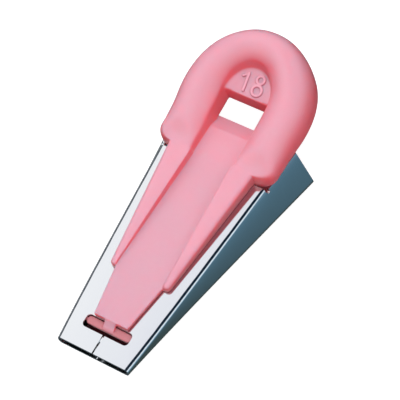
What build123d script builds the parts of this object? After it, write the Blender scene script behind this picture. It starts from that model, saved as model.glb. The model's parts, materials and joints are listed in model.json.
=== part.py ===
from build123d import *
import os
from math import atan2, copysign, cos, degrees, hypot, radians, sin, sqrt, tan

# A bias tape maker: a folded sheet-metal funnel with a moulded handle hooked into its slot.
# Lengths are in millimetres and angles in degrees. X runs across, Y from the narrow tip
# towards the finger loop, and Z up from the table. While the pieces are made, the tip's
# front edge is at Y = 0. At the end both pieces move so that the origin is the bottom
# centre of the whole.

# What it is for: strip folded to this finished width
tape_width = 18.0
tape_clearance = 0.2

# Sheet metal funnel
sheet = 0.5
bend_radius = 1.0
tip_height = 2.4
funnel_length = 65.1
funnel_floor_width = 41.0
funnel_fold_width = 30.5
funnel_height = 10.8
flap_length = 52.9
seam_tip_gap = 0.3
seam_wide_gap = 2.4
wall_corner_radius = 2.0
wall_edge_drop = 1.0
relief_length = 1.0
relief_depth = 0.7

# Slot across both flaps
slot_width = 12.4
slot_front = 4.9
slot_back = 8.2
slot_corner_radius = 1.0

# Handle: flat tongue and channel floor, measured along and above the flaps
rest_gap = 0.05
floor_height = 1.2
tongue_front = 8.3
tongue_front_width = 9.2
tongue_edge_radius = 0.3

# Handle: the two rails beside the channel
rail_front = 20.6
rail_front_inner_width = 13.1
rail_front_wall = 1.5
rail_back_outer_width = 23.0
rail_front_height = 1.9
rail_back_height = 3.85
rail_front_radius = 1.0
rail_outer_edge_radius = 0.9
rail_inner_edge_radius = 0.3
rail_overlap = 0.5

# Handle: finger loop, which starts behind the flaps
loop_gap = 0.3
hole_width = 10.9
loop_front_outer_width = 31.5
loop_outer_width = 33.5
loop_arm_length = 16.5
loop_arc_length = 17.97
loop_front_height = 4.7
loop_top_slope = 16.5
loop_under_height = -0.65
loop_under_slope = 5.0
loop_widest_share = 0.15
loop_under_round_share = 0.8
loop_squareness = 2.2
recess_arc_length = 6.9
recess_draft = 7.0
recess_overrun = 1.12
recess_softness = 0.82
shoulder_radius = 3.2
blend_length = 6.0
blend_squareness = 5.0

# Handle: keel behind the flaps, ramp, window and number plate
keel_width = 13.0
keel_depth = 1.0
ramp_length = 3.9
ramp_drop = 1.6
window_length = 4.65
window_corner_radius = 0.6
plate_setback = 17.35
plate_depth = 4.6
plate_bedding = 1.5
plate_recess = 0.1

# Handle: neck and crossbar in the slot
crossbar_front = 6.1
crossbar_length = 2.0
crossbar_thickness = 0.9
crossbar_width = 12.0
crossbar_gap = 0.1
crossbar_corner_radius = 0.7
pin_diameter = 0.8
pin_reach = 0.9
neck_width = 3.0
neck_clearance = 0.3

# Worked out from the sizes above
tip_width = tape_width + 2 * (tape_clearance + sheet)
flap_angle = degrees(atan2(funnel_height - tip_height, funnel_length))
cut_margin = 2.0
crown_steps = 8


def along(tip_value, wide_value, y):
    # a size that grows evenly from the tip to the wide end
    return tip_value + (wide_value - tip_value) * y / funnel_length


def wall_half(y, z, wall):
    # half the funnel's width at y and z, drawn in by the wall's thickness
    floor_half = along(tip_width, funnel_floor_width, y) / 2
    fold_half = along(tip_width, funnel_fold_width, y) / 2
    lean = (floor_half - fold_half) / along(tip_height, funnel_height, y)
    return floor_half - lean * z - wall * hypot(1, lean)


def wall_outline(y, wall):
    # the two leaning walls at y, run on below the floor and above the flaps
    top = along(tip_height, funnel_height, y) + bend_radius
    with BuildSketch(Plane.XZ.offset(-y)) as outline:
        with BuildLine():
            Polyline(
                (-wall_half(y, -bend_radius, wall), -bend_radius),
                (wall_half(y, -bend_radius, wall), -bend_radius),
                (wall_half(y, top, wall), top),
                (-wall_half(y, top, wall), top),
                close=True,
            )
        make_face()
    return outline.sketch


def funnel_block(start, end, wall):
    # the funnel's form as a solid from start to end, drawn in by the wall's thickness
    flap_wall = wall / cos(radians(flap_angle))
    with BuildPart() as block:
        loft([wall_outline(start, wall), wall_outline(end, wall)], ruled=True)
        with BuildSketch(Plane.YZ):
            with BuildLine():
                Polyline(
                    (start, wall),
                    (end, wall),
                    (end, along(tip_height, funnel_height, end) - flap_wall),
                    (start, along(tip_height, funnel_height, start) - flap_wall),
                    close=True,
                )
            make_face()
        extrude(amount=funnel_floor_width, both=True, mode=Mode.INTERSECT)
        fillet(block.edges().filter_by(lambda edge: edge.length > flap_length), bend_radius - wall)
    return block.part


# The plane of the flaps' upper faces: x across, y along the flaps, z away from them
flap_plane = Plane(
    origin=(0, 0, tip_height),
    x_dir=(1, 0, 0),
    z_dir=(0, -sin(radians(flap_angle)), cos(radians(flap_angle))),
)
# The same frame seen from the side: x along the flaps, y away from them
side_plane = Plane(origin=flap_plane.origin, x_dir=flap_plane.y_dir, z_dir=(1, 0, 0))
flap_reach = flap_length / cos(radians(flap_angle))

# Folded body
with BuildPart() as folded_body:
    add(funnel_block(0, funnel_length, 0))
    add(funnel_block(-cut_margin, funnel_length + cut_margin, sheet), mode=Mode.SUBTRACT)
    # behind the flaps only the floor and the two walls go on, with rounded rear corners
    with BuildSketch(Plane.YZ) as above_walls:
        flap_edge = along(tip_height, funnel_height, flap_length) - wall_edge_drop
        wall_corner = (funnel_length, funnel_height - wall_edge_drop)
        with BuildLine():
            Polyline(
                (flap_length, flap_edge),
                wall_corner,
                (funnel_length, wall_corner[1] - 2 * wall_corner_radius),
                (funnel_length + cut_margin, wall_corner[1] - 2 * wall_corner_radius),
                (funnel_length + cut_margin, funnel_height + cut_margin),
                (flap_length, funnel_height + cut_margin),
                close=True,
            )
        make_face()
        corner = above_walls.vertices().sort_by_distance((0, *wall_corner))[0]
        fillet(corner, wall_corner_radius)
    extrude(amount=funnel_floor_width, both=True, mode=Mode.SUBTRACT)
    # a relief notch parts each flap from the free wall behind it
    with BuildSketch(side_plane):
        with Locations((flap_reach + relief_length / 2, -wall_edge_drop)):
            SlotCenterPoint((0, 0), (0, relief_length / 2 - relief_depth), relief_length, rotation=0)
    extrude(amount=funnel_floor_width, both=True, mode=Mode.SUBTRACT)
    # the seam opens steadily towards the wide end
    with BuildSketch(flap_plane.offset(cut_margin)):
        with BuildLine():
            Polyline(
                (-seam_tip_gap / 2, -cut_margin),
                (seam_tip_gap / 2, -cut_margin),
                (seam_wide_gap / 2, flap_reach + cut_margin),
                (-seam_wide_gap / 2, flap_reach + cut_margin),
                close=True,
            )
        make_face()
    extrude(amount=-(cut_margin + 2 * sheet), mode=Mode.SUBTRACT)
    # the slot across both flaps
    with BuildSketch(flap_plane.offset(cut_margin)):
        with Locations((0, (slot_front + slot_back) / 2)):
            RectangleRounded(slot_width, slot_back - slot_front, slot_corner_radius)
    extrude(amount=-(cut_margin + 2 * sheet), mode=Mode.SUBTRACT)
print("folded body", folded_body.part.volume, folded_body.part.is_valid)

# Levels and places of the handle, from the sizes above
loop_front = flap_reach + loop_gap
loop_arc_centre = loop_front + loop_arm_length
hole_half = hole_width / 2
arm_front_half = loop_front_outer_width / 2
arm_back_half = loop_outer_width / 2
rail_front_half = rail_front_inner_width / 2 + rail_front_wall
rail_back_half = rail_back_outer_width / 2
plate_front = loop_front + plate_setback
ramp_end = plate_front - window_length
crossbar_top = -sheet - crossbar_gap
crossbar_back = crossbar_front + crossbar_length
neck_back = slot_back - neck_clearance


def top_face(part, cosine=0.9):
    # the largest face that looks away from the flaps
    return part.faces().filter_by(
        lambda face: face.normal_at().dot(flap_plane.z_dir) > cosine
    ).sort_by(SortBy.AREA)[-1]


def rail_top(v):
    # height of the rails' crown above the flaps
    rise = (rail_back_height - rail_front_height) / (loop_front - rail_front)
    return rail_back_height + rise * (v - loop_front)


def loop_top(v):
    # height of the loop's crown above the flaps
    return loop_front_height + (v - loop_front) * tan(radians(loop_top_slope))


def loop_underside(v):
    # height of the loop's flat underside above the flaps
    return loop_under_height + (v - loop_front) * tan(radians(loop_under_slope))


def loop_section(inner, outer, direction, crown, underside, squareness=loop_squareness):
    # a D-shaped section between two points of the plan, crowned above and flat below; its
    # inner half runs on past the wall of the recess, which is cut afterwards
    half = hypot(outer[0] - inner[0], outer[1] - inner[1]) / 2
    inner_half = half * recess_overrun
    bow = 2 / squareness
    inner_bow = bow / recess_softness
    middle = ((inner[0] + outer[0]) / 2, (inner[1] + outer[1]) / 2)
    widest = underside + loop_widest_share * (crown - underside)
    under_round = loop_under_round_share * (widest - underside)
    local = Plane(
        origin=flap_plane.from_local_coords(Vector(middle[0], middle[1], 0)),
        x_dir=flap_plane.x_dir * direction[0] + flap_plane.y_dir * direction[1],
        z_dir=flap_plane.x_dir * direction[1] - flap_plane.y_dir * direction[0],
    )
    # points round the section: the crown, then the rounded corners and the flat underside
    outline = []
    for step in range(crown_steps + 1):
        across = cos(radians(180 * step / crown_steps))
        rise = sin(radians(180 * step / crown_steps))
        reach, curve = (half, bow) if across > 0 else (inner_half, inner_bow)
        across = reach * copysign(abs(across) ** curve, across)
        outline.append((across, widest + (crown - widest) * rise**curve))
    corner_inset = under_round * (1 - cos(radians(45)))
    outline += [
        (-inner_half + corner_inset, underside + corner_inset),
        (-inner_half + under_round, underside),
        (0, underside),
        (half - under_round, underside),
        (half - corner_inset, underside + corner_inset),
    ]
    with BuildSketch(local) as section:
        with BuildLine():
            Spline(outline, periodic=True)
        make_face()
    return section.sketch


def arm_section(side, v):
    # the arm's section at v: its shoulder is round in plan, and its crown rises gently from
    # the rail's, while the rail's square section turns into the arm's round one
    into = min((v - loop_front) / shoulder_radius, 1)
    growth = sqrt(1 - (1 - into) ** 2)
    full = arm_front_half + (arm_back_half - arm_front_half) * (v - loop_front) / loop_arm_length
    outer = rail_back_half + (full - rail_back_half) * growth
    blend = min((v - loop_front) / blend_length, 1)
    blend = blend**2 * (3 - 2 * blend)
    crown = rail_top(v) + (loop_top(v) - rail_top(v)) * blend
    squareness = blend_squareness + (loop_squareness - blend_squareness) * blend
    return loop_section(
        (side * hole_half, v), (side * outer, v), (side, 0), crown, loop_underside(v), squareness
    )


def arc_section(angle):
    # the section at an angle round the arc, from 180 on the left arm to 0 on the right
    x = cos(radians(angle))
    v = sin(radians(angle))
    inner = (hole_half * x, loop_arc_centre + recess_arc_length * v)
    outer = (arm_back_half * x, loop_arc_centre + loop_arc_length * v)
    width = hypot(outer[0] - inner[0], outer[1] - inner[1])
    direction = ((outer[0] - inner[0]) / width, (outer[1] - inner[1]) / width)
    middle = (inner[1] + outer[1]) / 2
    return loop_section(inner, outer, direction, loop_top(middle), loop_underside(middle))


# Finger loop
arm_steps = [0, 0.04, 0.15, 0.35, 0.65, 1.0, 1.5, 2.2, 3.4]
arm_stations = [loop_front + shoulder_radius * step for step in arm_steps]
arc_angles = [180, 157.5, 135, 112.5, 90, 67.5, 45, 22.5, 0]
with BuildPart() as finger_loop:
    sections = [arm_section(-1, v) for v in arm_stations]
    sections += [arc_section(angle) for angle in arc_angles]
    sections += [arm_section(1, v) for v in reversed(arm_stations)]
    loft(sections)
    # the recess between the arms has a wall with a little draft and a round rear end
    recess_start = loop_under_height - cut_margin
    for level in (recess_start, recess_start + 4 * loop_top(loop_arc_centre)):
        draft = level * tan(radians(recess_draft))
        with BuildSketch(flap_plane.offset(level)):
            with Locations((0, loop_arc_centre)):
                Ellipse(hole_half + draft, recess_arc_length + draft)
                Rectangle(
                    hole_width + 2 * draft,
                    loop_arm_length + cut_margin,
                    align=(Align.CENTER, Align.MAX),
                )
    loft(mode=Mode.SUBTRACT)
print("loop", finger_loop.part.volume, finger_loop.part.is_valid)

# Rails: each tapers and sinks from the loop towards the tip
with BuildPart() as rails:
    rail_end = loop_front + rail_overlap
    with BuildSketch(flap_plane.offset(rest_gap)) as rail_plan:
        with BuildLine():
            Polyline(
                (rail_front_inner_width / 2, rail_front),
                (rail_front_half, rail_front),
                (rail_back_half, loop_front),
                (rail_back_half, rail_end),
                (hole_half, rail_end),
                (hole_half, loop_front),
                close=True,
            )
        make_face()
        fillet(rail_plan.vertices().sort_by(Axis.Y)[:2].sort_by(Axis.X)[-1], rail_front_radius)
    extrude(amount=2 * rail_back_height)
    with BuildSketch(side_plane):
        with BuildLine():
            Polyline(
                (0, rail_top(0)),
                (0, 4 * rail_back_height),
                (rail_end + cut_margin, 4 * rail_back_height),
                (rail_end + cut_margin, rail_top(rail_end + cut_margin)),
                close=True,
            )
        make_face()
    extrude(amount=funnel_floor_width, both=True, mode=Mode.SUBTRACT)
    crown_edges = top_face(rails).edges().sort_by(Axis.Y)[:-1]
    fillet(crown_edges.sort_by(Axis.X)[2:], rail_outer_edge_radius)
    fillet(top_face(rails).edges().sort_by(Axis.X)[:2], rail_inner_edge_radius)
    mirror(about=Plane.YZ)
print("rails", rails.part.volume, rails.part.is_valid)

# Tongue, channel floor, keel and ramp
with BuildPart() as channel:
    with BuildSketch(side_plane):
        with BuildLine():
            Polyline(
                (tongue_front, rest_gap),
                (loop_front, rest_gap),
                (loop_front, -keel_depth),
                (ramp_end, -keel_depth),
                (ramp_end, floor_height - ramp_drop),
                (ramp_end - ramp_length, floor_height),
                (tongue_front, floor_height),
                close=True,
            )
        make_face()
    extrude(amount=funnel_floor_width, both=True)
    with BuildSketch(flap_plane.offset(-2 * keel_depth)):
        with BuildLine():
            Polyline(
                (-tongue_front_width / 2, tongue_front),
                (tongue_front_width / 2, tongue_front),
                (rail_front_inner_width / 2, rail_front),
                (keel_width / 2, loop_front),
                (keel_width / 2, ramp_end),
                (-keel_width / 2, ramp_end),
                (-keel_width / 2, loop_front),
                (-rail_front_inner_width / 2, rail_front),
                close=True,
            )
        make_face()
    extrude(amount=2 * keel_depth + 2 * floor_height, mode=Mode.INTERSECT)
    fillet(top_face(channel).edges().sort_by(Axis.Y)[:3], tongue_edge_radius)
print("channel", channel.part.volume, channel.part.is_valid)

# Number plate: a half disc that closes the loop's rear, lower than its crown
with BuildPart() as number_plate:
    plate_corner = plate_front - window_corner_radius
    plate_back = loop_arc_centre + (loop_arc_length + recess_arc_length) / 2
    with BuildSketch(side_plane):
        with BuildLine():
            Polyline(
                (plate_corner, loop_underside(plate_corner) + plate_recess),
                (plate_back, loop_underside(plate_back) + plate_recess),
                (plate_back, loop_top(plate_back) - plate_depth),
                (plate_corner, loop_top(plate_corner) - plate_depth),
                close=True,
            )
        make_face()
    extrude(amount=(arm_back_half + hole_half) / 2, both=True)
    with BuildSketch(flap_plane):
        with Locations((0, loop_arc_centre)):
            Ellipse(hole_half + plate_bedding, (plate_back - loop_arc_centre) - plate_bedding)
        with Locations((0, plate_front - window_length / 2)):
            draft = (loop_top(plate_front) - plate_depth) * tan(radians(recess_draft))
            window_width = hole_width + 2 * draft
            RectangleRounded(window_width, window_length, window_corner_radius, mode=Mode.SUBTRACT)
    extrude(amount=4 * loop_top(plate_back), both=True, mode=Mode.INTERSECT)
print("plate", number_plate.part.volume, number_plate.part.is_valid)

# Crossbar with its pins, and the neck that carries it
with BuildPart() as crossbar:
    with BuildSketch(side_plane):
        with BuildLine():
            Polyline(
                (tongue_front + neck_width / 2, floor_height - tongue_edge_radius),
                (tongue_front + tongue_edge_radius, floor_height),
                (crossbar_front, crossbar_top),
                (crossbar_front, crossbar_top - crossbar_thickness),
                (neck_back, crossbar_top - crossbar_thickness),
                (neck_back, rest_gap),
                (tongue_front + neck_width / 2, rest_gap),
                close=True,
            )
        make_face()
    extrude(amount=neck_width / 2, both=True)
    with BuildSketch(flap_plane.offset(crossbar_top)):
        with Locations((0, (crossbar_front + crossbar_back) / 2)):
            RectangleRounded(crossbar_width, crossbar_length, crossbar_corner_radius)
    extrude(amount=-crossbar_thickness)
    with BuildSketch(side_plane):
        with Locations(((crossbar_front + crossbar_back) / 2, crossbar_top - crossbar_thickness / 2)):
            Circle(pin_diameter / 2)
    extrude(amount=crossbar_width / 2 + pin_reach, both=True)
print("crossbar", crossbar.part.volume, crossbar.part.is_valid)

# Pull handle: one moulding
with BuildPart() as pull_handle:
    add(channel.part)
    add(rails.part)
    add(finger_loop.part)
    add(number_plate.part)
    add(crossbar.part)
print("handle", pull_handle.part.volume, pull_handle.part.is_valid, len(pull_handle.part.solids()))

# The origin is the bottom centre of the whole
front = folded_body.part.bounding_box().min.Y
back = pull_handle.part.bounding_box().max.Y
to_origin = Location((0, -(front + back) / 2, 0))
body_piece = folded_body.part.moved(to_origin)
handle_piece = pull_handle.part.moved(to_origin)
body_piece.label = "folded_body"
handle_piece.label = "pull_handle"

os.makedirs("parts", exist_ok=True)
export_step(body_piece, "parts/folded_body.step")
export_step(handle_piece, "parts/pull_handle.step")

pivot = side_plane.from_local_coords(
    Vector((crossbar_front + crossbar_back) / 2, crossbar_top - crossbar_thickness / 2, 0)
)
print("overall length", back - front)
print("tip at y", front + to_origin.position.Y)
print("pivot of the handle", pivot + to_origin.position)
print("body box", body_piece.bounding_box())
print("handle box", handle_piece.bounding_box())
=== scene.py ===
import json
from math import atan2, degrees, hypot, radians

import bpy
from mathutils import Matrix, Vector

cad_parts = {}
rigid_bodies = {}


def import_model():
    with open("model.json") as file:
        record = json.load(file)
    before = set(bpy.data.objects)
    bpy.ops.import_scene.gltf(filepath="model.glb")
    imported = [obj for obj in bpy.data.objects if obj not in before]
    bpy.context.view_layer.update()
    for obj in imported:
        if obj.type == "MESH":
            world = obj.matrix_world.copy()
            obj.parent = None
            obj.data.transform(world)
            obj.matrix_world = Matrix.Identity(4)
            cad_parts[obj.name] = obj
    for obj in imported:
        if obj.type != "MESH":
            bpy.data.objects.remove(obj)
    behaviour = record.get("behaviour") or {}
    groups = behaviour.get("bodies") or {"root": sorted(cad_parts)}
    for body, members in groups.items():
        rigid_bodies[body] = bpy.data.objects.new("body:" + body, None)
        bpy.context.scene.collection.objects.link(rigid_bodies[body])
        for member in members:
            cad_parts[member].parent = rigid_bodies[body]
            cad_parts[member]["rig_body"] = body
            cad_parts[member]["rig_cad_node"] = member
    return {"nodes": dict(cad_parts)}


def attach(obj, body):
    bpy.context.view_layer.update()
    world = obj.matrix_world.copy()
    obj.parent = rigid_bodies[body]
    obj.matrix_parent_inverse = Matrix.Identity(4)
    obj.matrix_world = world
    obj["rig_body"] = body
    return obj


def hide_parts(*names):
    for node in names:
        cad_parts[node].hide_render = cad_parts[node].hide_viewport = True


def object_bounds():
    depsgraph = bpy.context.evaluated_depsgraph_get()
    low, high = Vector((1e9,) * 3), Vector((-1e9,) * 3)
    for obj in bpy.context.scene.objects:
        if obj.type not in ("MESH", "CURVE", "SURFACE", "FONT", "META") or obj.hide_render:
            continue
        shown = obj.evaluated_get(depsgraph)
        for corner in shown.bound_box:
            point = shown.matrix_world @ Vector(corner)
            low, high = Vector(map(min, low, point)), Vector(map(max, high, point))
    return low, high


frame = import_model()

cadBox = [list(corner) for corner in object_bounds()]
tipY = cadBox[0][1]
print("CAD frame loaded:", cadBox)


# Small helpers for objects

def deselectAll():
    if bpy.context.object and bpy.context.object.mode != "OBJECT":
        bpy.ops.object.mode_set(mode="OBJECT")
    bpy.ops.object.select_all(action="DESELECT")


def selectOnly(piece):
    deselectAll()
    piece.select_set(True)
    bpy.context.view_layer.objects.active = piece


def mergedCopy(node, name):
    # the CAD mesh is loose triangles, so a copy of it is merged before it is worked on
    piece = node.copy()
    piece.data = node.data.copy()
    piece.name = name
    piece.data.name = name
    piece.parent = None
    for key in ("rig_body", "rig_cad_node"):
        if key in piece:
            del piece[key]
    bpy.context.scene.collection.objects.link(piece)
    selectOnly(piece)
    bpy.ops.object.mode_set(mode="EDIT")
    bpy.ops.mesh.select_all(action="SELECT")
    bpy.ops.mesh.customdata_custom_splitnormals_clear()
    bpy.ops.mesh.remove_doubles(threshold=1e-6)
    bpy.ops.object.mode_set(mode="OBJECT")
    return piece


def applyAll(piece):
    selectOnly(piece)
    for modifier in list(piece.modifiers):
        bpy.ops.object.modifier_apply(modifier=modifier.name)


def remeshSmooth(piece, voxel, rounds, softness):
    # one even skin over everything that was joined, then its steps are eased away
    remesh = piece.modifiers.new("even", "REMESH")
    remesh.mode = "VOXEL"
    remesh.voxel_size = voxel
    smooth = piece.modifiers.new("soft", "SMOOTH")
    smooth.factor = softness
    smooth.iterations = rounds
    applyAll(piece)
    selectOnly(piece)
    bpy.ops.object.shade_smooth()


def giveMaterial(piece, material):
    piece.data.materials.clear()
    piece.data.materials.append(material)


# Small helpers for materials

def newMaterial(name):
    material = bpy.data.materials.new(name)
    material.use_nodes = True
    nodes = material.node_tree.nodes
    return material, nodes, material.node_tree.links, nodes["Principled BSDF"]


def opaque(colour):
    return (*colour, 1)


def plug(links, value, socket):
    # a value is a plain number or colour, or another node's socket
    if isinstance(value, bpy.types.NodeSocket):
        links.new(value, socket)
    else:
        socket.default_value = value


def mathNode(nodes, links, operation, *values):
    node = nodes.new("ShaderNodeMath")
    node.operation = operation
    for place, value in enumerate(values):
        plug(links, value, node.inputs[place])
    return node.outputs[0]


def splitNode(nodes, links, vector):
    split = nodes.new("ShaderNodeSeparateXYZ")
    links.new(vector, split.inputs[0])
    return split.outputs


def rangeNode(nodes, links, value, bounds, results=(0, 1), easing="LINEAR"):
    # brings a value from its bounds to the results, and holds it there beyond them
    node = nodes.new("ShaderNodeMapRange")
    node.interpolation_type = easing
    node.inputs["From Min"].default_value, node.inputs["From Max"].default_value = bounds
    node.inputs["To Min"].default_value, node.inputs["To Max"].default_value = results
    links.new(value, node.inputs["Value"])
    return node.outputs["Result"]


def rampNode(nodes, links, value, bounds, stops):
    # a colour ramp whose stops are given in the value's own unit
    low, high = bounds
    span = high - low
    node = nodes.new("ShaderNodeValToRGB")
    links.new(mathNode(nodes, links, "MULTIPLY_ADD", value, 1 / span, -low / span), node.inputs[0])
    ramp = node.color_ramp
    while len(ramp.elements) < len(stops):
        ramp.elements.new(0.5)
    for element, (stop, colour) in zip(ramp.elements, stops):
        element.position = (stop - low) / span
        element.color = opaque(colour)
    return node.outputs[0]


def noiseNode(nodes, links, place, scale, detail):
    node = nodes.new("ShaderNodeTexNoise")
    node.inputs["Scale"].default_value = scale
    node.inputs["Detail"].default_value = detail
    links.new(place, node.inputs["Vector"])
    return node.outputs["Fac"]


def bumpNode(nodes, links, height, distance):
    node = nodes.new("ShaderNodeBump")
    node.inputs["Distance"].default_value = distance
    links.new(height, node.inputs["Height"])
    return node.outputs["Normal"]


def mixColours(nodes, links, share, first, second):
    node = nodes.new("ShaderNodeMixRGB")
    for name, value in (("Fac", share), ("Color1", first), ("Color2", second)):
        plug(links, value, node.inputs[name])
    return node.outputs[0]


def mixShaders(nodes, links, share, first, second):
    node = nodes.new("ShaderNodeMixShader")
    for place, value in enumerate((share, first, second)):
        links.new(value, node.inputs[place])
    return node.outputs[0]


# Camera, fitted to the photograph: angles in degrees, places in metres, lens in millimetres

cameraValues = {
    "azimuth": 41.31,
    "elevation": 54.57,
    "roll": -11.23,
    "distance": 0.4144,
    "aim": (0.00652, -0.00454, 0.01774),
    "lens": 164.69,
    "sensor": 36,
    "nearest": 0.01,
}


def addCamera():
    v = cameraValues
    data = bpy.data.cameras.new("photoCamera")
    camera = bpy.data.objects.new("photoCamera", data)
    bpy.context.scene.collection.objects.link(camera)
    data.lens = v["lens"]
    data.sensor_width = v["sensor"]
    data.clip_start = v["nearest"]
    turn = (
        Matrix.Rotation(radians(v["azimuth"]), 4, "Z")
        @ Matrix.Rotation(radians(90 - v["elevation"]), 4, "X")
        @ Matrix.Rotation(radians(v["roll"]), 4, "Z")
    )
    back = turn.to_3x3() @ Vector((0, 0, v["distance"]))
    camera.matrix_world = Matrix.Translation(Vector(v["aim"]) + back) @ turn
    bpy.context.scene.camera = camera
    print("camera placed")


# Floor: white to the camera, pale paint for the light that bounces off it

floorValues = {"size": 3.0, "ownWhite": 0.80, "paint": (0.55, 0.55, 0.55)}


def addFloor():
    v = floorValues
    deselectAll()
    bpy.ops.mesh.primitive_plane_add(size=v["size"])
    floor = bpy.context.object
    floor.name = "studioFloor"
    material, nodes, links, shader = newMaterial("studioFloor")
    shader.inputs["Base Color"].default_value = opaque(v["paint"])
    shader.inputs["Roughness"].default_value = 1.0
    shader.inputs["Specular IOR Level"].default_value = 0.0
    glow = nodes.new("ShaderNodeEmission")
    glow.inputs["Strength"].default_value = v["ownWhite"]
    path = nodes.new("ShaderNodeLightPath")
    both = nodes.new("ShaderNodeAddShader")
    links.new(shader.outputs[0], both.inputs[0])
    links.new(glow.outputs[0], both.inputs[1])
    seen = mixShaders(nodes, links, path.outputs["Is Camera Ray"], shader.outputs[0], both.outputs[0])
    links.new(seen, nodes["Material Output"].inputs["Surface"])
    giveMaterial(floor, material)
    floor.visible_glossy = False  # the plated sheet mirrors the studio's dark side instead
    print("floor laid")


# Lamps, all aimed at the origin: place, width and depth in metres, power in watts

lampValues = {
    "leftSoftbox": {"at": (-0.50, 0.20, 0.42), "size": (0.35, 0.35), "power": 1.15},
    "topSoftbox": {"at": (0.02, -0.06, 0.60), "size": (0.40, 0.40), "power": 1.30},
    "rightFill": {"at": (0.45, -0.20, 0.30), "size": (0.30, 0.30), "power": 0.60},
}


def addLamps():
    for name, v in lampValues.items():
        data = bpy.data.lights.new(name, "AREA")
        data.shape = "RECTANGLE"
        data.size, data.size_y = v["size"]
        data.energy = v["power"]
        lamp = bpy.data.objects.new(name, data)
        bpy.context.scene.collection.objects.link(lamp)
        lamp.location = v["at"]
        lamp.rotation_euler = Vector(v["at"]).to_track_quat("Z", "Y").to_euler()
        lamp.visible_glossy = False
    print("lamps hung")


# What a mirror sees round the object, in degrees about the Y axis: 0 is the horizon on the
# right, 90 straight up, 180 the horizon on the left and -90 straight down. The studio strips
# show only in the slice of the room where the fold and the walls look; the rest is plain.
# The slice and the fades go by one part of the direction, from -1 to 1.

surroundValues = {
    "softColour": (0.8, 0.8, 0.8),
    "softLight": 0.70,
    "softFade": [(-1.0, 0.0), (0.0, 0.45), (0.5, 0.75), (1.0, 1.0)],  # from below to above
    "glossLevel": 1.4,
    "glossBounces": 0.5,  # the room's gloss shows below this many diffuse bounces
    "stripSlice": [(-1.0, 0), (-0.16, 0), (-0.06, 1), (0.36, 1), (0.46, 0), (1.0, 0)],  # front to rear
    "rearFade": [(-1.0, 1), (0.42, 1), (0.72, 0.25), (1.0, 0.25)],  # front to rear
    "plainStops": [
        (-180, (0.05, 0.07, 0.08)),
        (-30, (0.05, 0.07, 0.08)),
        (20, (0.25, 0.27, 0.30)),
        (60, (0.95, 0.97, 1.0)),
        (148, (0.98, 0.99, 1.0)),
        (170, (0.20, 0.22, 0.24)),
        (180, (0.05, 0.07, 0.08)),
    ],
    "stripStops": [
        (-180, (0.05, 0.07, 0.08)),
        (-60, (0.045, 0.06, 0.055)),
        (-30, (0.045, 0.070, 0.072)),
        (-16, (0.062, 0.115, 0.145)),
        (0, (0.085, 0.175, 0.240)),
        (14, (0.30, 0.45, 0.58)),
        (26, (0.62, 0.78, 0.90)),
        (37, (0.95, 1.0, 1.0)),
        (46, (0.62, 0.72, 0.82)),
        (53, (0.01, 0.02, 0.035)),
        (101, (0.01, 0.02, 0.035)),
        (106, (0.60, 0.64, 0.72)),
        (110, (0.82, 0.83, 0.90)),
        (115, (0.98, 0.99, 1.0)),
        (126, (0.98, 0.99, 1.0)),
        (132, (0.08, 0.10, 0.12)),
        (158, (0.04, 0.05, 0.06)),
        (170, (0.45, 0.47, 0.50)),
        (180, (0.50, 0.52, 0.55)),
    ],
}


def greys(stops):
    return [(stop, (level, level, level)) for stop, level in stops]


def backgroundNode(nodes, links, colour, strength):
    node = nodes.new("ShaderNodeBackground")
    plug(links, colour, node.inputs["Color"])
    plug(links, strength, node.inputs["Strength"])
    return node.outputs[0]


def addSurroundings():
    v = surroundValues
    world = bpy.data.worlds.new("studio")
    bpy.context.scene.world = world
    world.use_nodes = True
    nodes, links = world.node_tree.nodes, world.node_tree.links
    nodes.clear()
    path = nodes.new("ShaderNodeLightPath")
    direction = nodes.new("ShaderNodeTexCoord")
    across, along, up = splitNode(nodes, links, direction.outputs["Generated"])
    turn = mathNode(nodes, links, "DEGREES", mathNode(nodes, links, "ARCTAN2", up, across))
    partBounds, turnBounds = (-1, 1), (-180, 180)
    # the even light that falls on the object
    overhead = rampNode(nodes, links, up, partBounds, greys(v["softFade"]))
    softLevel = mathNode(nodes, links, "MULTIPLY", overhead, v["softLight"])
    soft = backgroundNode(nodes, links, opaque(v["softColour"]), softLevel)
    # the room that its gloss mirrors
    inSlice = rampNode(nodes, links, along, partBounds, greys(v["stripSlice"]))
    plain = rampNode(nodes, links, turn, turnBounds, v["plainStops"])
    strips = rampNode(nodes, links, turn, turnBounds, v["stripStops"])
    room = mixColours(nodes, links, inSlice, plain, strips)
    fade = rampNode(nodes, links, along, partBounds, greys(v["rearFade"]))
    gloss = backgroundNode(nodes, links, room, mathNode(nodes, links, "MULTIPLY", fade, v["glossLevel"]))
    # it shows in gloss that is looked at, not in what the gloss throws on its neighbour
    looked = mathNode(nodes, links, "LESS_THAN", path.outputs["Diffuse Depth"], v["glossBounces"])
    mirrored = mathNode(nodes, links, "MULTIPLY", path.outputs["Is Glossy Ray"], looked)
    lit = mixShaders(nodes, links, mirrored, soft, gloss)
    white = backgroundNode(nodes, links, (1, 1, 1, 1), 1.0)
    seen = mixShaders(nodes, links, path.outputs["Is Camera Ray"], lit, white)
    out = nodes.new("ShaderNodeOutputWorld")
    links.new(seen, out.inputs["Surface"])
    print("surroundings set")


# The folded sheet: the funnel's length and its outside heights at both ends, in metres

sheetValues = {
    "length": 0.0651,
    "tipHeight": 0.0024,
    "mouthHeight": 0.0108,
    "bendAngle": 30,  # degrees, past which an edge stays sharp
    "flatWeight": 90,  # how strongly a large face holds the normals at its border
}

flapRise = (sheetValues["mouthHeight"] - sheetValues["tipHeight"]) / sheetValues["length"]


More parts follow.
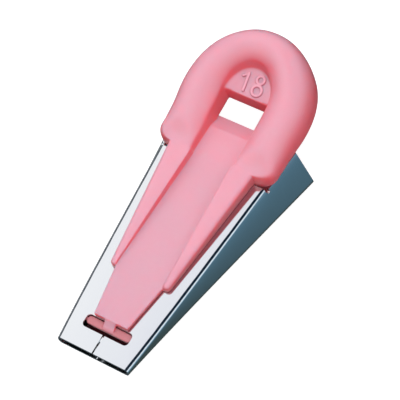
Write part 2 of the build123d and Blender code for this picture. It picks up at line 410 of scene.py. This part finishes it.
def heightOverFlaps(nodes, links, place):
    # how far a point lies above the flaps' slope, in metres
    across, along, up = splitNode(nodes, links, place)
    fromTip = mathNode(nodes, links, "SUBTRACT", along, tipY)
    flapHeight = mathNode(nodes, links, "MULTIPLY_ADD", fromTip, flapRise, sheetValues["tipHeight"])
    return mathNode(nodes, links, "SUBTRACT", up, flapHeight)


# Bright nickel plate on drawn sheet. The side walls bow a little where they leave the folds,
# so the material leans their normals there.

platedValues = {
    "colour": (0.62, 0.63, 0.645),
    "roughness": (0.08, 0.12),
    "markStretch": (2200, 40, 2200),  # the drawing marks run along the strip
    "markScale": 5,
    "markDetail": 3,
    "bowLean": 12.0,  # degrees at the flaps' slope
    "bowReach": 0.0030,  # metres below it in which the lean falls to about a third
}


def platedSheetMaterial():
    v = platedValues
    material, nodes, links, shader = newMaterial("platedSheet")
    shader.inputs["Base Color"].default_value = opaque(v["colour"])
    shader.inputs["Metallic"].default_value = 1.0
    place = nodes.new("ShaderNodeTexCoord").outputs["Object"]
    drawn = nodes.new("ShaderNodeMapping")
    drawn.inputs["Scale"].default_value = v["markStretch"]
    links.new(place, drawn.inputs["Vector"])
    marks = noiseNode(nodes, links, drawn.outputs["Vector"], v["markScale"], v["markDetail"])
    links.new(rangeNode(nodes, links, marks, (0, 1), v["roughness"]), shader.inputs["Roughness"])
    # a rise that fades with the depth below the flaps
    above = heightOverFlaps(nodes, links, place)
    fade = mathNode(nodes, links, "EXPONENT", mathNode(nodes, links, "DIVIDE", above, v["bowReach"]))
    rise = mathNode(nodes, links, "MULTIPLY", fade, -v["bowReach"] * radians(v["bowLean"]))
    links.new(bumpNode(nodes, links, rise, 1.0), shader.inputs["Normal"])
    return material


def dressFoldedBody(material):
    v = sheetValues
    sheet = mergedCopy(frame["nodes"]["folded_body"], "folded_sheet")
    selectOnly(sheet)
    bpy.ops.object.shade_smooth_by_angle(angle=radians(v["bendAngle"]))
    # the large flat walls keep their own direction right up to the bends
    flats = sheet.modifiers.new("flats", "WEIGHTED_NORMAL")
    flats.mode = "FACE_AREA"
    flats.weight = v["flatWeight"]
    flats.keep_sharp = True
    applyAll(sheet)
    giveMaterial(sheet, material)
    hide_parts("folded_body")
    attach(sheet, "body")
    print("folded sheet ready:", len(sheet.data.polygons), "faces")


# Slightly translucent moulded plastic with a satin skin: heights and places in metres

plasticValues = {
    # painted light and shade: the top colour is a painted lighter tone for faces that point up, the two
    # side colours are painted shade for the sides of the moulding and of the thin lettering
    "paintedLitTopColour": (0.90, 0.43, 0.54),
    "paintedShadeSideColour": (0.99, 0.16, 0.20),
    "paintedShadeThinSideColour": (0.60, 0.13, 0.19),  # on lettering, which is too thin to glow
    "slopes": (0.12, 0.95),  # the normal's upward part on a side and on a top
    "sunkColour": (0.58, 0.15, 0.17),  # in the slot's shade
    "sunk": (-0.0007, 0.0),  # heights over the flaps between which that colour ends
    "sunkUpTo": -0.0330,  # the place behind the slot where that colour ends
    "specular": 0.6,
    "coat": 0.6,
    "coatRoughness": 0.35,
    "coatIor": 1.6,
    "glow": (0.1, 1.0),  # the share of light that passes through, on the sheet and above it
    "glowFade": (-0.0004, 0.0002),  # heights over the flaps between which it changes
    "glowRadius": (1.0, 0.08, 0.08),
    "glowScale": 0.002,
    "roughness": (0.36, 0.46),
    "roughScale": 700,
    "roughDetail": 4,
    "grainScale": 1500,
    "grainDetail": 2,
    "grainDepth": 0.000004,
}


def pinkPlasticMaterial(name, glowing=True):
    v = plasticValues
    material, nodes, links, shader = newMaterial(name)
    shader.inputs["Specular IOR Level"].default_value = v["specular"]
    shader.inputs["Coat Weight"].default_value = v["coat"]
    shader.inputs["Coat Roughness"].default_value = v["coatRoughness"]
    shader.inputs["Coat IOR"].default_value = v["coatIor"]
    texture = nodes.new("ShaderNodeTexCoord")
    place = texture.outputs["Object"]
    # painted light and shade: the colour is painted paler where the surface faces up and painted deeper,
    # as shade, down its sides
    facing = splitNode(nodes, links, texture.outputs["Normal"])["Z"]
    upward = rangeNode(nodes, links, facing, v["slopes"], easing="SMOOTHSTEP")
    paintedSideShade = v["paintedShadeSideColour"] if glowing else v["paintedShadeThinSideColour"]
    paintedTopAndSideShade = mixColours(nodes, links, upward, opaque(paintedSideShade), opaque(v["paintedLitTopColour"]))
    above = heightOverFlaps(nodes, links, place)
    # painted shade: where the moulding lies below the flaps, short of the place behind the slot, its
    # colour is painted as the darker sunk colour
    risen = rangeNode(nodes, links, above, v["sunk"])
    along = splitNode(nodes, links, place)["Y"]
    behindSlot = mathNode(nodes, links, "GREATER_THAN", along, v["sunkUpTo"])
    clear = mathNode(nodes, links, "MAXIMUM", risen, behindSlot)
    paintedLightAndShade = mixColours(nodes, links, clear, opaque(v["sunkColour"]), paintedTopAndSideShade)
    links.new(paintedLightAndShade, shader.inputs["Base Color"])
    if glowing:
        # light passes through the moulding, but not where it lies on the sheet or under it
        shader.inputs["Subsurface Radius"].default_value = v["glowRadius"]
        shader.inputs["Subsurface Scale"].default_value = v["glowScale"]
        share = rangeNode(nodes, links, above, v["glowFade"], v["glow"])
        links.new(share, shader.inputs["Subsurface Weight"])
    patches = noiseNode(nodes, links, place, v["roughScale"], v["roughDetail"])
    links.new(rangeNode(nodes, links, patches, (0, 1), v["roughness"]), shader.inputs["Roughness"])
    grain = noiseNode(nodes, links, place, v["grainScale"], v["grainDetail"])
    links.new(bumpNode(nodes, links, grain, v["grainDepth"]), shader.inputs["Normal"])
    return material


# The handle, in metres. The loop's inner edge is the line where the upright wall of its hollow
# turns over into its top: the edge is found by how steep its faces are, then rolled over.

handleValues = {
    "voxel": 0.00016,
    "smoothing": 5,
    "softness": 0.5,
    "keep": 0.40,  # the share of triangles that stays
    "plateFront": 0.0263,  # where the number plate's front edge stands along Y
    "edgeSteepness": (0.25, 0.80),  # the normal's upward part along the loop's inner edge
    "hollowFrom": 0.0095,  # where the hollow starts along Y
    "hollowHalf": (0.0046, 0.0090),  # the edge lies between these half widths
    "archFrom": 0.004,  # the hollow's round end starts this far behind the plate's front
    "archSpare": 0.004,  # the round end reaches this far past the sides
    "edgeAbove": 0.0028,  # the edge's least height over the flaps
    "edgeGrow": 4,
    "edgeRounds": 40,
}


def rollLoopEdge(moulding):
    v = handleValues
    plate = v["plateFront"]
    arch = plate + v["archFrom"]
    low, high = v["edgeSteepness"]
    inner, outer = v["hollowHalf"]
    selectOnly(moulding)
    bpy.ops.object.mode_set(mode="EDIT")
    bpy.ops.mesh.select_all(action="DESELECT")
    bpy.ops.mesh.select_mode(type="VERT")
    bpy.ops.object.mode_set(mode="OBJECT")
    count = 0
    for vertex in moulding.data.vertices:
        x, y, z = vertex.co
        above = z - sheetValues["tipHeight"] - (y - tipY) * flapRise
        inwards = -x * vertex.normal.x - max(0.0, y - plate) * vertex.normal.y
        beside = y < arch and inner < abs(x) < outer
        behind = y >= arch and hypot(x, y - plate) < outer + v["archSpare"]
        placed = y > v["hollowFrom"] and above > v["edgeAbove"] and (beside or behind)
        if placed and inwards > 0 and low < vertex.normal.z < high:
            vertex.select = True
            count += 1
    bpy.ops.object.mode_set(mode="EDIT")
    for _ in range(v["edgeGrow"]):
        bpy.ops.mesh.select_more()
    bpy.ops.mesh.vertices_smooth(factor=v["softness"], repeat=v["edgeRounds"])
    bpy.ops.object.mode_set(mode="OBJECT")
    print("loop edge rolled over:", count, "points")


def dressPullHandle(material):
    v = handleValues
    moulding = mergedCopy(frame["nodes"]["pull_handle"], "handle_moulding")
    remeshSmooth(moulding, v["voxel"], v["smoothing"], v["softness"])
    rollLoopEdge(moulding)
    thin = moulding.modifiers.new("thin", "DECIMATE")
    thin.ratio = v["keep"]
    applyAll(moulding)
    giveMaterial(moulding, material)
    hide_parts("pull_handle")
    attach(moulding, "handle")
    moulding.data.calc_loop_triangles()
    print("handle moulding ready:", len(moulding.data.loop_triangles), "triangles")
    return moulding


# The number raised on the plate. Its places are in metres from the middle of the plate's front
# edge: to the right, and back along the plate's slope. Its strokes have round tops.

numberValues = {
    "probe": 0.002,
    "stroke": 0.00044,
    "oneTop": (-0.00190, 0.00535),
    "oneFoot": (-0.00148, 0.00105),
    "oneFlag": (-0.00300, 0.00440),
    "eightUpper": (0.00154, 0.00480),
    "eightUpperRadius": 0.00096,
    "eightLower": (0.00176, 0.00212),
    "eightLowerRadius": 0.00124,
    "strokeSides": 32,
    "endRings": 16,
    "ringSteps": 64,
    "ringSides": 24,
    "voxel": 0.00007,
    "smoothing": 2,
    "softness": 0.5,
}


def addStroke(start, end):
    # a round bar with round ends between two places on the plate
    v = numberValues
    lengthX, lengthY = end[0] - start[0], end[1] - start[1]
    bpy.ops.mesh.primitive_cylinder_add(
        vertices=v["strokeSides"],
        radius=v["stroke"],
        depth=hypot(lengthX, lengthY),
        location=((start[0] + end[0]) / 2, (start[1] + end[1]) / 2, 0),
        rotation=(radians(90), 0, atan2(lengthY, lengthX) - radians(90)),
    )
    parts = [bpy.context.object]
    for place in (start, end):
        bpy.ops.mesh.primitive_uv_sphere_add(
            segments=v["strokeSides"], ring_count=v["endRings"], radius=v["stroke"], location=(*place, 0)
        )
        parts.append(bpy.context.object)
    return parts


def addRing(middle, ringRadius):
    v = numberValues
    bpy.ops.mesh.primitive_torus_add(
        major_segments=v["ringSteps"],
        minor_segments=v["ringSides"],
        major_radius=ringRadius,
        minor_radius=v["stroke"],
        location=(*middle, 0),
    )
    return [bpy.context.object]


def addPlateNumber(material, moulding):
    v = numberValues
    plateFront = handleValues["plateFront"]
    deselectAll()
    parts = addStroke(v["oneTop"], v["oneFoot"])
    parts += addStroke(v["oneTop"], v["oneFlag"])
    parts += addRing(v["eightUpper"], v["eightUpperRadius"])
    parts += addRing(v["eightLower"], v["eightLowerRadius"])
    deselectAll()
    for part in parts:
        part.select_set(True)
    bpy.context.view_layer.objects.active = parts[0]
    bpy.ops.object.join()
    number = bpy.context.object
    number.name = "plate_number"
    number.data.name = "plate_number"
    bpy.ops.object.transform_apply(location=True, rotation=True, scale=True)
    remeshSmooth(number, v["voxel"], v["smoothing"], v["softness"])
    # two probes straight down onto the plate give its height and slope
    bpy.context.view_layer.update()
    top = cadBox[1][2] + v["probe"]
    hits = []
    for back in (v["probe"], 2 * v["probe"]):
        start = Vector((0, plateFront + back, top))
        hits.append(moulding.ray_cast(start, Vector((0, 0, -1)))[1])
    slope = (hits[1].z - hits[0].z) / (hits[1].y - hits[0].y)
    front = Vector((0, plateFront, hits[0].z - slope * v["probe"]))
    number.matrix_world = Matrix.Translation(front) @ Matrix.Rotation(atan2(slope, 1), 4, "X")
    selectOnly(number)
    bpy.ops.object.transform_apply(location=True, rotation=True, scale=True)
    giveMaterial(number, material)
    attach(number, "handle")
    print("plate number ready, plate slope", round(degrees(atan2(slope, 1)), 2), "at", tuple(front))


bpy.context.scene.view_settings.view_transform = "Standard"
addCamera()
addFloor()
addLamps()
addSurroundings()
dressFoldedBody(platedSheetMaterial())
handleMoulding = dressPullHandle(pinkPlasticMaterial("pinkPlastic"))
addPlateNumber(pinkPlasticMaterial("pinkPlasticThin", glowing=False), handleMoulding)
